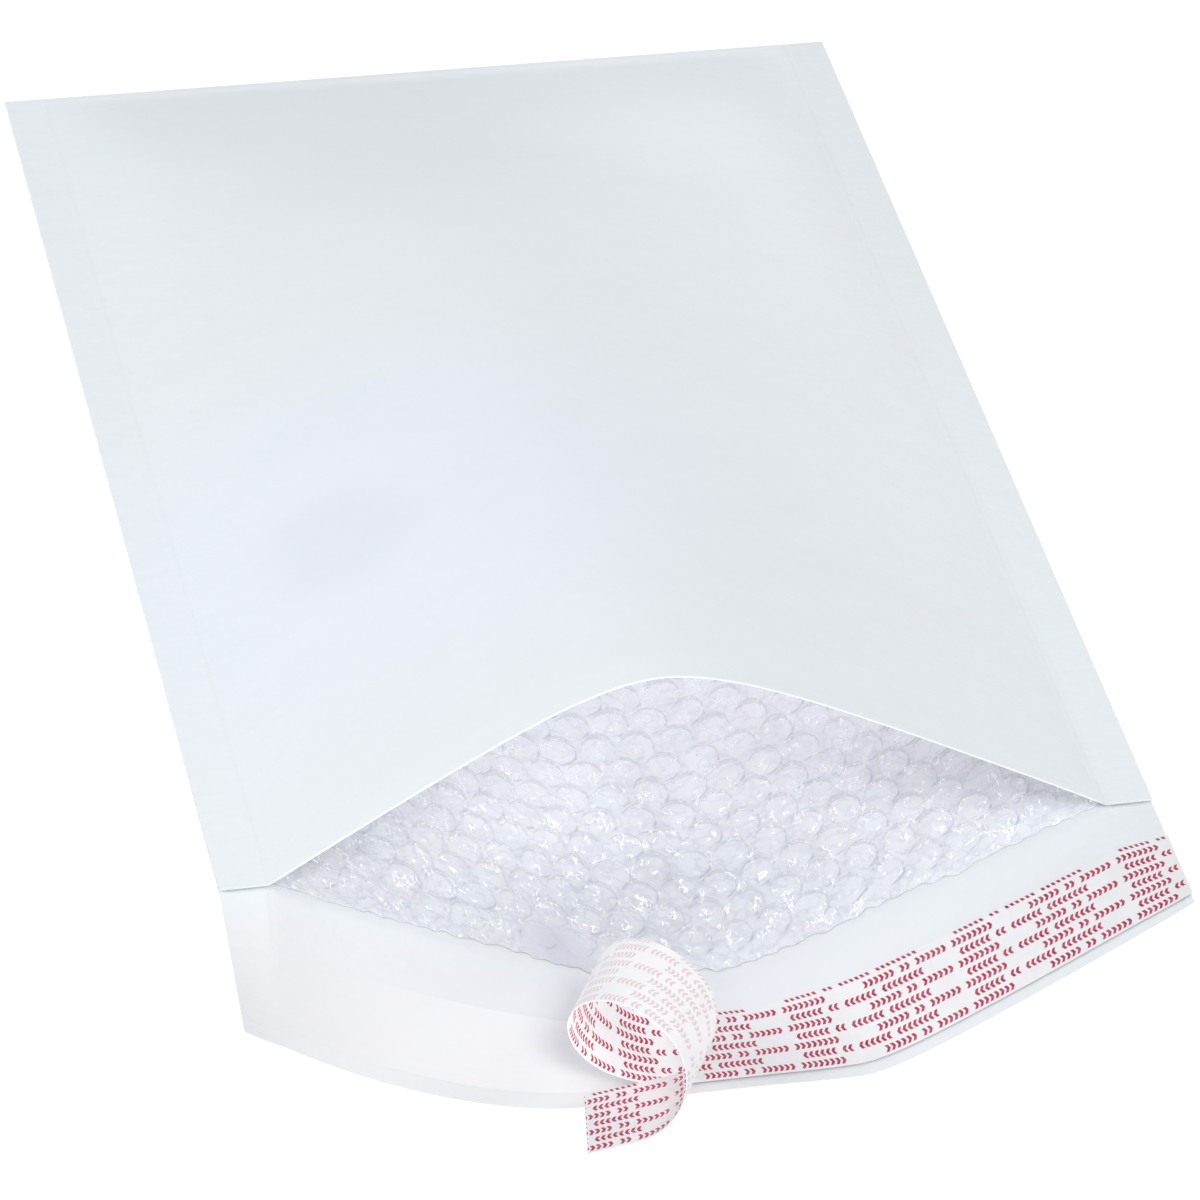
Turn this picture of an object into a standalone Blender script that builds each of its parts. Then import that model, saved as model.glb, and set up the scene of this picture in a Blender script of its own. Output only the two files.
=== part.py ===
"""A white padded mailing bag that lies open: a paper envelope folded from one sheet, its lining of
bubble film, the band of glue on its flap and the paper strip that is half peeled off that band.

Metres, +Z up. The origin is the middle of the back panel, on the surface that the bag lies on.
The mouth is towards -Y, the closed end towards +Y, and +X is to the right of someone who looks
into the mouth. Sheets are laid out flat first, then every point is carried to its place in the
open bag. A place on a flat sheet is given by `across`, its distance from the bag's middle line,
by `along`, its distance from the mouth towards the closed end (less than nothing on the flap),
and by `depth`, its distance inwards from the outside of the paper.
"""

import math

import bmesh
import bpy
import numpy as np

MM = 0.001

# The flat bag
WIDTH = 266.7 * MM
LENGTH = 406.4 * MM
FLAP_LENGTH = 47 * MM
SEAM_WIDTH = 12.7 * MM
HEM_WIDTH = 4 * MM
SWELL = 14 * MM             # from a seam or the hem to where the bubbles stand full
PAPER = 0.25 * MM
FILM = 0.2 * MM
GAP = 0.3 * MM              # between layers that touch

# The bubbles
BUBBLE_PITCH = 11 * MM
BUBBLE_HEIGHT = 3.2 * MM
BUBBLE_SHOULDER = 2.2 * MM  # how far a bubble's top is set in from its foot
BUBBLE_MARGIN = 3 * MM      # the least from the outer bubbles to a seam
BACK_BUBBLE_ROWS = 9
FRONT_BUBBLE_ROWS = 3
LINING_SETBACK = 2 * MM     # from the paper's mouth edge to the film's

# How the mouth is held open: the back panel is a flat strip that rises to both seams
BACK_FLAT = 11 * MM         # half the width of the flat strip at the mouth
BACK_RISE_LEFT = math.radians(26.6)
BACK_RISE_RIGHT = math.radians(25.4)
BACK_BEND = 6 * MM
FRONT_CROWN = -9 * MM       # where the front panel stands highest, from the middle line
FRONT_BEND = 18 * MM
FRONT_DIP = 6 * MM          # how much further back the middle of the front's mouth edge lies

# The free edge of the flap
FLAP_FLAT = 36 * MM
FLAP_RISE_LEFT = math.radians(60)
FLAP_RISE_RIGHT = math.radians(32)
FLAP_BEND_LEFT = 87 * MM
FLAP_BEND_RIGHT = 8 * MM
FLAP_LIFT = 6.7 * MM        # height of the middle of the free edge above the mouth's

# The glue and its cover strip
GLUE = 0.2 * MM
GLUE_WIDTH = 24 * MM
STRIP = 0.2 * MM
STRIP_WIDTH = 27 * MM
STRIP_MARGIN = 3 * MM       # from the strip to the free edge of the flap
PEELED_TO = -3.7 * MM       # where the strip leaves the glue
FREE_LENGTH = 141.5 * MM    # of the strip from there to its loose end
CURL_START = 3 * MM         # flat stretch between the peeling line and the curl
WIDE_RADIUS = 0.152 * FREE_LENGTH   # the curl's first and higher bend
WIDE_ARC = math.radians(210)
TIGHT_RADIUS = 0.083 * FREE_LENGTH  # the bend that takes the loose end back underneath
TIGHT_ARC = math.radians(141)
CURL_TURN = math.radians(27)  # how far the curl's axis is turned out of square
CURL_TILT = math.radians(6)   # how far its near end is tipped up
TILT_EASE = 25 * MM         # stretch of the strip over which it tips

# How finely the sheets are divided
BODY_ROWS = (0.3, 0.6, 0.88)  # shares of the length between mouth and closed end
FOLD_STEPS = 3
CURL_STEPS = 32
CURVE_POINTS = 1201

POCKET = WIDTH - 2 * SEAM_WIDTH
SKIN = PAPER + GAP + FILM   # one side's layers where they are crushed flat
STACK = 2 * SKIN
FOLD_MIDDLE = LENGTH + STACK / 2
STRIP_TOP = FLAP_LENGTH - STRIP_MARGIN - STRIP_WIDTH
GLUE_TOP = STRIP_TOP + (STRIP_WIDTH - GLUE_WIDTH) / 2
ROW_PITCH = BUBBLE_PITCH * math.sqrt(3) / 2
BUBBLE_COLUMNS = int((POCKET / 2 - BUBBLE_MARGIN) / (BUBBLE_PITCH / 2))  # on each side


def trace(arc, slope):
    """Return how far across and up a curve goes, from its slope at each length along it."""
    middle = (slope[1:] + slope[:-1]) / 2
    across = np.cumsum(np.cos(middle) * np.diff(arc))
    up = np.cumsum(np.sin(middle) * np.diff(arc))
    return np.append(0, across), np.append(0, up)


def dish(across, flat, left, right, straight_from):
    """Bend a line up to both sides of its flat middle.

    left and right are a slope and the length over which the line bends up to it.
    """
    arc = np.linspace(0, WIDTH / 2, CURVE_POINTS)
    side_x = {}
    side_z = {}
    for side, (rise, bend) in ((-1, left), (1, right)):
        slope = rise * (1 - np.exp(-np.clip(arc - flat, 0, None) / bend))
        slope = np.where(arc > straight_from, 0, slope)
        x, z = trace(arc, slope)
        side_x[side] = side * np.interp(np.abs(across), arc, x)
        side_z[side] = np.interp(np.abs(across), arc, z)
    leftwards = across < 0
    return (np.where(leftwards, side_x[-1], side_x[1]),
            np.where(leftwards, side_z[-1], side_z[1]))


def arch(across, start, end):
    """Bend the front panel's mouth edge into an arch between its two seams."""
    arc = np.linspace(-POCKET / 2, POCKET / 2, CURVE_POINTS)
    from_crown = arc - FRONT_CROWN
    shape = -np.sign(from_crown) * (1 - np.exp(-np.abs(from_crown) / FRONT_BEND))
    span = math.dist(start, end)
    shallow, steep = 0, math.pi / 2
    for _ in range(40):
        slope = (shallow + steep) / 2
        x, z = trace(arc, slope * shape)
        if math.hypot(x[-1], z[-1]) > span:
            shallow = slope
        else:
            steep = slope
    turn = math.atan2(end[1] - start[1], end[0] - start[0]) - math.atan2(z[-1], x[-1])
    turned_x = start[0] + x * math.cos(turn) - z * math.sin(turn)
    turned_z = start[1] + x * math.sin(turn) + z * math.cos(turn)
    inside = np.clip(across, -POCKET / 2, POCKET / 2)
    return (np.interp(inside, arc, turned_x) + across - inside,
            np.interp(inside, arc, turned_z))


def closed_end(across):
    """Place points of the closed end, on the outside of the back."""
    return np.stack([across, np.full_like(across, LENGTH / 2), np.zeros_like(across)], 1)


def mouth_points(across, x, z):
    """Place points of a mouth edge at the bag's full length from the closed end."""
    sideways = x - across
    y = LENGTH / 2 - np.sqrt(LENGTH ** 2 - sideways ** 2 - z ** 2)
    return np.stack([x, y, z], 1)


def back_profile(across):
    """Return x and z of the back panel's outside along the mouth."""
    return dish(across, BACK_FLAT, (BACK_RISE_LEFT, BACK_BEND), (BACK_RISE_RIGHT, BACK_BEND),
                POCKET / 2)


def back_mouth(across):
    """Place points of the back panel's mouth line."""
    return mouth_points(across, *back_profile(across))


def front_mouth(across):
    """Place points of the front panel's mouth edge, before the layers get their thickness."""
    seam_x, seam_z = back_profile(np.array([-POCKET / 2, POCKET / 2]))
    x, z = arch(across, (seam_x[0], seam_z[0]), (seam_x[1], seam_z[1]))
    points = mouth_points(across, x, z)
    points[:, 1] += FRONT_DIP * np.clip(1 - (2 * across / POCKET) ** 2, 0, 1)
    return points


def flap_edge(across):
    """Place points of the flap's free edge."""
    x, z = dish(across, FLAP_FLAT, (FLAP_RISE_LEFT, FLAP_BEND_LEFT),
                (FLAP_RISE_RIGHT, FLAP_BEND_RIGHT), WIDTH)
    z = z + FLAP_LIFT
    mouth = back_mouth(across)
    reach = FLAP_LENGTH ** 2 - (x - mouth[:, 0]) ** 2 - (z - mouth[:, 2]) ** 2
    return np.stack([x, mouth[:, 1] - np.sqrt(reach), z], 1)


def swell(across, along):
    """Return how full the bubbles stand, from 0 in a seam or the hem to 1."""
    from_seam = np.clip((POCKET / 2 - np.abs(across)) / SWELL, 0, 1)
    from_hem = np.clip((LENGTH - HEM_WIDTH - along) / SWELL, 0, 1)
    return np.sin(from_seam * math.pi / 2) * np.sin(from_hem * math.pi / 2)


def panels(across, along):
    """Return the outside of the back, and what leads from it to the outside of the front."""
    mouth = back_mouth(across)
    body = np.clip(along / LENGTH, 0, 1)[:, None]
    flap = np.clip(-along / FLAP_LENGTH, 0, None)[:, None]
    back = mouth + (closed_end(across) - mouth) * body + (flap_edge(across) - mouth) * flap
    opened = np.clip(1 - along / (LENGTH - HEM_WIDTH), 0, 1)[:, None]
    opening = (front_mouth(across) - mouth) * opened
    full = swell(across, along)
    lack = (2 * BUBBLE_HEIGHT + GAP) * full - opening[:, 2]
    lift = (lack + np.sqrt(lack ** 2 + (BUBBLE_HEIGHT * full) ** 2)) / 2
    opening[:, 2] += STACK + lift
    return back, opening


def place(points, front):
    """Carry points of a flat sheet, as across, along and depth, to their place in the bag."""
    across, along, depth = points.T
    back, opening = panels(across, along)
    height = np.linalg.norm(opening, axis=1)
    fullness = np.where(along < 0, 1, swell(across, along))
    inwards = np.minimum(depth, SKIN) + np.clip(depth - SKIN, 0, None) * fullness
    share = inwards / height
    return back + opening * np.where(front, 1 - share, share)[:, None]


def move_all(mesh, mover):
    """Give every vertex of a mesh the place that mover works out from where it is."""
    places = mover(np.array([vertex.co for vertex in mesh.verts]))
    for vertex, new_place in zip(mesh.verts, places):
        vertex.co = new_place


def columns():
    """Return the places across at which the sheets are divided."""
    half = BUBBLE_PITCH / 2
    inner = [half * step for step in range(-BUBBLE_COLUMNS, BUBBLE_COLUMNS + 1)]
    return [-WIDTH / 2, -POCKET / 2, *inner, POCKET / 2, WIDTH / 2]


def rows():
    """Return the places along the body at which the sheets are divided."""
    hem = LENGTH - HEM_WIDTH
    return [0, *(LENGTH * share for share in BODY_ROWS), hem - SWELL, hem - SWELL / 2, hem, LENGTH]


def flat_sheet(across_places, along_places, depth):
    """Lay out a flat sheet that is divided at the given places."""
    sheet = bmesh.new()
    bmesh.ops.create_grid(sheet, x_segments=len(across_places) - 1,
                          y_segments=len(along_places) - 1, size=1)
    for vertex in sheet.verts:
        column = round((vertex.co.x + 1) / 2 * (len(across_places) - 1))
        row = round((vertex.co.y + 1) / 2 * (len(along_places) - 1))
        vertex.co = (across_places[column], along_places[row], depth)
    return sheet


def cut_cells(sheet):
    """Cut four-sided cells in two, each from its corner nearest the middle of the mouth.

    Sheets that lie on each other are cut the same way, so that they stay apart where they twist.
    """
    for cell in [face for face in sheet.faces if len(face.verts) == 4]:
        from_mouth = [abs(vertex.co.x) - abs(vertex.co.y - FOLD_MIDDLE) for vertex in cell.verts]
        nearest = from_mouth.index(min(from_mouth))
        bmesh.utils.face_split(cell, cell.verts[nearest], cell.verts[nearest - 2])


def thicken(sheet, thickness):
    """Turn a flat sheet into a closed slab that reaches deeper by its thickness."""
    cut_cells(sheet)
    bottom = bmesh.ops.extrude_face_region(sheet, geom=sheet.faces[:], use_keep_orig=True)
    moved = [item for item in bottom["geom"] if isinstance(item, bmesh.types.BMVert)]
    bmesh.ops.translate(sheet, verts=moved, vec=(0, 0, thickness))
    bmesh.ops.recalc_face_normals(sheet, faces=sheet.faces[:])


def finish(mesh, name, colour, roughness, clear=0):
    """Make a mesh a named object with its own material."""
    bmesh.ops.recalc_face_normals(mesh, faces=mesh.faces[:])
    data = bpy.data.meshes.new(name)
    mesh.to_mesh(data)
    mesh.free()
    data.shade_smooth()
    data.set_sharp_from_angle(angle=math.radians(40))
    material = bpy.data.materials.new(name)
    material.use_nodes = True
    shader = material.node_tree.nodes["Principled BSDF"]
    shader.inputs["Base Color"].default_value = (*colour, 1)
    shader.inputs["Roughness"].default_value = roughness
    shader.inputs["Metallic"].default_value = 0
    shader.inputs["Transmission Weight"].default_value = clear
    data.materials.append(material)
    bpy.context.scene.collection.objects.link(bpy.data.objects.new(name, data))


def paper_envelope():
    """Fold the sheet: front panel, round the closed end, back panel and flap."""
    body = rows()
    fold = [LENGTH + STACK * step / FOLD_STEPS for step in range(1, FOLD_STEPS)]
    far_body = [LENGTH + STACK + LENGTH - row for row in reversed(body)]
    flap = [2 * LENGTH + STACK + reach for reach in (STRIP_TOP, STRIP_TOP + STRIP_WIDTH,
                                                     FLAP_LENGTH)]
    sheet = flat_sheet(columns(), body + fold + far_body + flap, 0)
    thicken(sheet, PAPER)

    def bend(points):
        across, run, depth = points.T
        front = run <= LENGTH
        turned = np.clip((run - LENGTH) / STACK, 0, 1) * math.pi
        along = np.where(front, run, np.minimum(LENGTH, 2 * LENGTH + STACK - run))
        places = place(np.stack([across, along, depth], 1), front)
        folding = (turned > 0) & (turned < math.pi)
        radius = STACK / 2 - depth
        middle = closed_end(across)
        middle[:, 1] += radius * np.sin(turned)
        middle[:, 2] += STACK / 2 + radius * np.cos(turned)
        return np.where(folding[:, None], middle, places)

    move_all(sheet, bend)
    finish(sheet, "paper_envelope", (0.88, 0.9, 0.92), 0.6)


def raise_bubbles(sheet, first_row, bubble_rows):
    """Join the sheet's cells in pairs to a honeycomb and lift each cell to a bubble.

    The boundaries between the rows of bubbles run in a zigzag, which makes the cells six-sided.
    """
    half = BUBBLE_PITCH / 2
    zigzag = BUBBLE_PITCH / (4 * math.sqrt(3))
    last_row = first_row + bubble_rows * ROW_PITCH
    spare = []
    for edge in sheet.edges:
        first, second = (vertex.co for vertex in edge.verts)
        if abs(first.x - second.x) > half / 4:
            continue
        middle = (first + second) / 2
        row = math.floor((middle.y - first_row) / ROW_PITCH)
        column = round(middle.x / half)
        if first_row < middle.y < last_row and abs(column) < BUBBLE_COLUMNS and (row + column) % 2:
            spare.append(edge)
    bmesh.ops.dissolve_edges(sheet, edges=spare, use_verts=False)
    cells = [face for face in sheet.faces if len(face.verts) == 6]
    for vertex in {vertex for cell in cells for vertex in cell.verts}:
        row = round((vertex.co.y - first_row) / ROW_PITCH)
        column = round(vertex.co.x / half)
        if abs(column) < BUBBLE_COLUMNS:
            vertex.co.y += zigzag if (row + column) % 2 == 0 else -zigzag
    bmesh.ops.inset_individual(sheet, faces=cells, thickness=BUBBLE_SHOULDER)
    tops = {vertex for cell in cells for vertex in cell.verts}
    bmesh.ops.translate(sheet, verts=list(tops), vec=(0, 0, BUBBLE_HEIGHT))


def lining_half(bubble_rows, front):
    """Make one side of the lining, from its outer skin to the plane where the sides meet.

    Its pocket side has bubbles near the mouth. Deeper in it is level with their tops.
    """
    places = columns()
    body = rows()
    body[0] = LINING_SETBACK
    skin = flat_sheet(places, body, PAPER + GAP)
    cut_cells(skin)

    first_row = LINING_SETBACK + ROW_PITCH / 2
    honeycomb = [first_row + ROW_PITCH * row for row in range(BACK_BUBBLE_ROWS + 1)]
    deeper = [row for row in body if row > honeycomb[-1] + ROW_PITCH]
    pocket = flat_sheet(places[1:-1], [LINING_SETBACK, *honeycomb, *deeper[:-1]], SKIN)
    raise_bubbles(pocket, first_row, bubble_rows)
    level_from = honeycomb[bubble_rows] + ROW_PITCH / 2
    level = [vertex for vertex in pocket.verts if vertex.co.y > level_from]
    bmesh.ops.translate(pocket, verts=level, vec=(0, 0, BUBBLE_HEIGHT))
    cut_cells(pocket)
    pocket_data = bpy.data.meshes.new("pocket")
    pocket.to_mesh(pocket_data)
    pocket.free()
    skin.from_mesh(pocket_data)
    bpy.data.meshes.remove(pocket_data)
    close_mouth(skin)
    close_sides(skin)
    move_all(skin, lambda points: place(points, np.full(len(points), front)))
    return skin


def close_mouth(half):
    """Join the outer skin to the pocket side along the mouth, up to the seams."""
    edges = [edge for edge in half.edges
             if all(abs(vertex.co.y - LINING_SETBACK) < GAP / 2 for vertex in edge.verts)
             and all(abs(vertex.co.x) < POCKET / 2 + GAP / 2 for vertex in edge.verts)]
    bmesh.ops.bridge_loops(half, edges=edges)


def close_sides(half):
    """Bring the outer skin's sides and closed end down to the plane where the halves meet."""
    outline = [edge for edge in half.edges if edge.is_boundary
               and all(abs(vertex.co.z - PAPER - GAP) < GAP / 4 for vertex in edge.verts)]
    walls = bmesh.ops.extrude_edge_only(half, edges=outline)
    lowered = [item for item in walls["geom"] if isinstance(item, bmesh.types.BMVert)]
    bmesh.ops.translate(half, verts=lowered, vec=(0, 0, FILM))
    bmesh.ops.remove_doubles(half, verts=half.verts[:], dist=0.01 * MM)


def bubble_lining():
    """Weld the two sides of the lining at the side seams and at the closed end."""
    lining = lining_half(BACK_BUBBLE_ROWS, False)
    front = lining_half(FRONT_BUBBLE_ROWS, True)
    front_data = bpy.data.meshes.new("front")
    front.to_mesh(front_data)
    front.free()
    lining.from_mesh(front_data)
    bpy.data.meshes.remove(front_data)
    bmesh.ops.remove_doubles(lining, verts=lining.verts[:], dist=0.01 * MM)
    finish(lining, "bubble_lining", (0.85, 0.87, 0.9), 0.15, clear=0.6)


def adhesive_strip():
    """Lay the band of glue along the inside of the flap."""
    band = flat_sheet(columns(), [-GLUE_TOP, -GLUE_TOP - GLUE_WIDTH], PAPER + GAP)
    thicken(band, GLUE)
    move_all(band, lambda points: place(points, np.zeros(len(points), bool)))
    finish(band, "adhesive_strip", (0.9, 0.9, 0.86), 0.3)


def curl_path():
    """Return distance rolled up, reach, height and slope along the curl, seen along its axis."""
    rolled = np.linspace(-STRIP_WIDTH, FREE_LENGTH + STRIP_WIDTH, CURVE_POINTS)
    wide_end = CURL_START + WIDE_RADIUS * WIDE_ARC
    slope = np.clip((rolled - CURL_START) / WIDE_RADIUS, 0, WIDE_ARC)
    slope = slope + np.clip((rolled - wide_end) / TIGHT_RADIUS, 0, TIGHT_ARC)
    reach, height = trace(rolled, slope)
    return rolled, reach + rolled[0], height, slope


def curl(run, side, lift):
    """Place points of the loose end of the strip.

    run is the distance from the peeling line, side the distance from the strip's middle towards
    the flap's free edge, and lift the distance above the strip's underside.
    """
    middle = np.array([PEELED_TO])
    mouth = back_mouth(middle)[0]
    outwards = (flap_edge(middle)[0] - mouth) / FLAP_LENGTH
    leftwards = np.array([-1, 0, 0])
    up = np.cross(leftwards, outwards)
    start = mouth + outwards * (STRIP_TOP + STRIP_WIDTH / 2) + up * (PAPER + GLUE + 2 * GAP)
    eased = np.clip(run / TILT_EASE, 0, 1)
    tilt = (CURL_TILT * eased ** 2 * (3 - 2 * eased))[:, None]
    near = outwards * np.cos(tilt) + up * np.sin(tilt)
    raised = up * np.cos(tilt) - outwards * np.sin(tilt)

    around = leftwards * math.cos(CURL_TURN) - near * math.sin(CURL_TURN)
    axis = leftwards * math.sin(CURL_TURN) + near * math.cos(CURL_TURN)
    rolled = run * math.cos(CURL_TURN) - side * math.sin(CURL_TURN)
    along_axis = run * math.sin(CURL_TURN) + side * math.cos(CURL_TURN)
    path = curl_path()
    reach, height, slope = (np.interp(rolled, path[0], values) for values in path[1:])
    reach = (reach - lift * np.sin(slope))[:, None]
    height = (height + lift * np.cos(slope))[:, None]
    return start + around * reach + axis * along_axis[:, None] + raised * height


def release_liner():
    """Lay the cover strip on the glue and curl up its loose end."""
    stuck = [column for column in columns() if column > PEELED_TO + GAP]
    loose = [-FREE_LENGTH * step / CURL_STEPS for step in range(CURL_STEPS, 0, -1)]
    depth = PAPER + GLUE + 2 * GAP
    strip = flat_sheet([*loose, 0, *(column - PEELED_TO for column in stuck)],
                       [-STRIP_TOP, -STRIP_TOP - STRIP_WIDTH], depth)
    thicken(strip, STRIP)

    def bend(points):
        run, along, level = points.T
        stuck_places = place(points + np.array([PEELED_TO, 0, 0]), np.zeros(len(points), bool))
        loose_places = curl(-run, -STRIP_TOP - STRIP_WIDTH / 2 - along, level - depth)
        return np.where(run[:, None] < 0, loose_places, stuck_places)

    move_all(strip, bend)
    finish(strip, "release_liner", (0.9, 0.55, 0.55), 0.45)


def main():
    for old in list(bpy.data.objects):
        bpy.data.objects.remove(old)
    paper_envelope()
    bubble_lining()
    adhesive_strip()
    release_liner()


main()
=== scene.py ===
"""Dress the padded mailing bag: white paper, a lining of bubble film, glue and its peeled strip.

Metres, +Z up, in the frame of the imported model: the bag lies on its back with its mouth towards
-Y. Each sheet is made flat with mesh operators, in `across` (from the bag's middle line), `along`
(from the mouth towards the closed end, less than nothing on the flap) and `depth` (inwards from
the outside of the paper). Only the paper's own `along` runs on, from the front panel round the
closed end and over the back to the flap. Then the points are carried to their places in the open
bag. A sheet keeps its flat places as the attribute "flat_place", and the materials lay their
patterns on it.
"""

import math
import random

import bmesh
import bpy
import numpy as np
from bpy.props import FloatProperty, FloatVectorProperty, PointerProperty
from mathutils import Matrix, Vector


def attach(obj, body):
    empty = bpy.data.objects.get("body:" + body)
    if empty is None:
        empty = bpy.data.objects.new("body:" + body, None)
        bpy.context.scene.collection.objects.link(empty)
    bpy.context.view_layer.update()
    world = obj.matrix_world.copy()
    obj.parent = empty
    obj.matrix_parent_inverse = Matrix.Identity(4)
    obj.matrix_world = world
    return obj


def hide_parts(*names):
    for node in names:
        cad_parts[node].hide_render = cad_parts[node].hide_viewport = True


bl_info = {
    "name": "Padded mailing bag",
    "version": (1, 0, 0),
    "blender": (4, 5, 0),
    "location": "3D View > Sidebar > Mailing bag",
    "description": "Makes the paper, film, glue and peeled strip of an open padded mailing bag",
    "category": "Object",
}

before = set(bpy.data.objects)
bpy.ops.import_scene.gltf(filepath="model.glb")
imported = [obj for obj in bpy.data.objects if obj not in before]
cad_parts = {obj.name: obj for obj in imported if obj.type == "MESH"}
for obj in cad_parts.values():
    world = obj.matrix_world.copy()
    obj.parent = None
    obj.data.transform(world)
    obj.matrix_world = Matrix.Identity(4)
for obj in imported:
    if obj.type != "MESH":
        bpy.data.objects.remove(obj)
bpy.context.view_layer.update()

MM = 0.001

# The flat bag, as in the model
WIDTH = 266.7 * MM
LENGTH = 406.4 * MM
FLAP_LENGTH = 47 * MM
SEAM_WIDTH = 12.7 * MM
HEM_WIDTH = 4 * MM
SWELL = 14 * MM
PAPER = 0.25 * MM
FILM = 0.2 * MM
GAP = 0.3 * MM
BUBBLE_HEIGHT = 3.2 * MM
BUBBLE_MARGIN = 3 * MM
LINING_SETBACK = 2 * MM

# How it is held open, as in the model
BACK_FLAT = 11 * MM
BACK_RISE_LEFT = math.radians(26.6)
BACK_RISE_RIGHT = math.radians(25.4)
BACK_BEND = 6 * MM
FRONT_CROWN = -9 * MM
FRONT_BEND = 18 * MM
FRONT_DIP = 6 * MM
FLAP_FLAT = 36 * MM
FLAP_RISE_LEFT = math.radians(60)
FLAP_RISE_RIGHT = math.radians(32)
FLAP_BEND_LEFT = 87 * MM
FLAP_BEND_RIGHT = 8 * MM
FLAP_LIFT = 6.7 * MM

# The glue and its cover strip, as in the model
GLUE = 0.2 * MM
GLUE_WIDTH = 24 * MM
STRIP = 0.2 * MM
STRIP_WIDTH = 27 * MM
STRIP_MARGIN = 3 * MM
PEELED_TO = -3.7 * MM
FREE_LENGTH = 141.5 * MM
CURL_START = 3 * MM
WIDE_RADIUS = 0.152 * FREE_LENGTH
WIDE_ARC = math.radians(210)
TIGHT_RADIUS = 0.083 * FREE_LENGTH
TIGHT_ARC = math.radians(141)
CURL_TURN = math.radians(27)
CURL_TILT = math.radians(6)
TILT_EASE = 25 * MM
CURVE_POINTS = 1201

POCKET = WIDTH - 2 * SEAM_WIDTH
SKIN = PAPER + GAP + FILM
STACK = 2 * SKIN
STRIP_TOP = FLAP_LENGTH - STRIP_MARGIN - STRIP_WIDTH
GLUE_TOP = STRIP_TOP + (STRIP_WIDTH - GLUE_WIDTH) / 2
FLAP_START = 2 * LENGTH + STACK     # along the paper from the front panel's mouth edge

# How far from a seam, and from the hem, the bubbles stand full: further than in the model
SIDE_SWELL = 2.2 * SWELL
END_SWELL = 4 * SWELL

# The glue is drawn thinner than in the model
THIN_GLUE = GLUE / 4

# How finely the sheets are divided
PAPER_CELL = 2.4 * MM
FOLD_STEPS = 6
STRIP_CELL = 1.2 * MM
EDGE_CUTS = 4

# Each ring of a bubble: its share of the bubble's radius and of its height
BUBBLE_RINGS = ((1.0, 0.04), (0.97, 0.45), (0.8, 0.82), (0.43, 0.98))
PLAIN_RINGS = ((0.97, 0.3), (0.6, 0.95))
ROUND_ROWS = 14             # rows of bubbles from the mouth that are seen close by
SHADED_SIDE = Vector((0.8, -0.6))    # where the painted shade at a bubble's foot shows most, as seen in the flat
WILTED = 0.06               # share of the bubbles that have lost some air
CRUMPLED_FROM = 58 * MM     # this far left of the middle line the film starts to be crumpled
CRUMPLING = 25 * MM         # and over this much more it gets fully crumpled

# Where the bubbles are pressed flat, and the soft spots of tone on the sheets: each as across,
# along and reach. Two spots are painted shade, one is where a painted glow turns lilac, the rest
# are a bluish cloud and grey spots
PRESSED_FLAT = ((-34 * MM, 8 * MM, 14 * MM), (-56 * MM, 5 * MM, 10 * MM), (10 * MM, 2 * MM, 7 * MM))
COOL_PANEL = (-58 * MM, 125 * MM, 135 * MM)
DULL_SPOT = (-76 * MM, 124 * MM, 34 * MM)
# The next two are painted shade: near the front panel's closed end, and on the flap's right
SHADED_END = (-30 * MM, 375 * MM, 110 * MM)
SHADED_FLAP = (65 * MM, FLAP_START + 10 * MM, 110 * MM)
DULL_EDGE = (-45 * MM, FLAP_START + 40 * MM, 60 * MM)
# Where the painted glow under the arch turns lilac
LILAC_GLOW = (70 * MM, 85 * MM, 75 * MM)

# The lining has a painted glow that grows the deeper it lies under the arch, whose edge runs from a
# point like a tent
ARCH_TOP = (4 * MM, 104 * MM)       # across, and along
ARCH_SLOPE = 0.86

# The printed marks: how many places a run has, which of them stay bare, and how far up the rows
# of marks are shifted
RUN_MARKS = 25
RUN_GAPS = (6, 9, 16)
ROW_SHIFT = 0.75 * MM

# The strip's cut end is askew: one edge is longer and the other shorter by half this share of the
# loose length
ASKEW = 0.032

# The camera: where it looks, from how far, and how it is turned
LOOK_AT = Vector((7.77, -53.37, 0)) * MM
CAMERA_DISTANCE = 1.4313
CAMERA_AZIMUTH = math.radians(-14.09)
CAMERA_ELEVATION = math.radians(41.68)
CAMERA_ROLL = math.radians(4.1)
CAMERA_LENS = 150.55
FLOOR_SIZE = 14


class BagSizes(bpy.types.PropertyGroup):
    """The sizes of the bag's finer detail."""

    bubble_pitch: FloatProperty(
        name="Bubble pitch", description="From one bubble to the next in a row",
        default=11 * MM, min=5 * MM, unit="LENGTH")
    bubble_radius: FloatProperty(
        name="Bubble radius", description="Radius of a bubble at its foot",
        default=4.95 * MM, min=2 * MM, unit="LENGTH")
    paper_swell: FloatProperty(
        name="Paper swell", description="Height of the soft waves in the front panel",
        default=0.5 * MM, min=0, unit="LENGTH")
    imprint: FloatProperty(
        name="Bubble imprint", description="How far the bubbles press up through the paper",
        default=0.05 * MM, min=0, unit="LENGTH")
    ragged: FloatProperty(
        name="Ragged edge", description="How unevenly the film is cut off at the mouth",
        default=0.8 * MM, min=0, unit="LENGTH")
    row_pitch: FloatProperty(
        name="Print row pitch", description="From one row of printed marks to the next",
        default=3.6 * MM, min=MM, unit="LENGTH")
    mark_height: FloatProperty(
        name="Mark height", description="Height of the marks printed on the cover strip",
        default=2.3 * MM, min=0.5 * MM, unit="LENGTH")
    mark_pitch: FloatProperty(
        name="Mark pitch", description="From one printed mark to the next in a row",
        default=1.5 * MM, min=0.5 * MM, unit="LENGTH")
    run_repeat: FloatProperty(
        name="Run repeat", description="From the start of one run of marks to the next",
        default=48 * MM, min=6 * MM, unit="LENGTH")


def colour_property(name, description, default):
    """Return a property that holds one colour."""
    return FloatVectorProperty(name=name, description=description, default=default,
                               subtype="COLOR", size=3, min=0, max=1)


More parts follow.
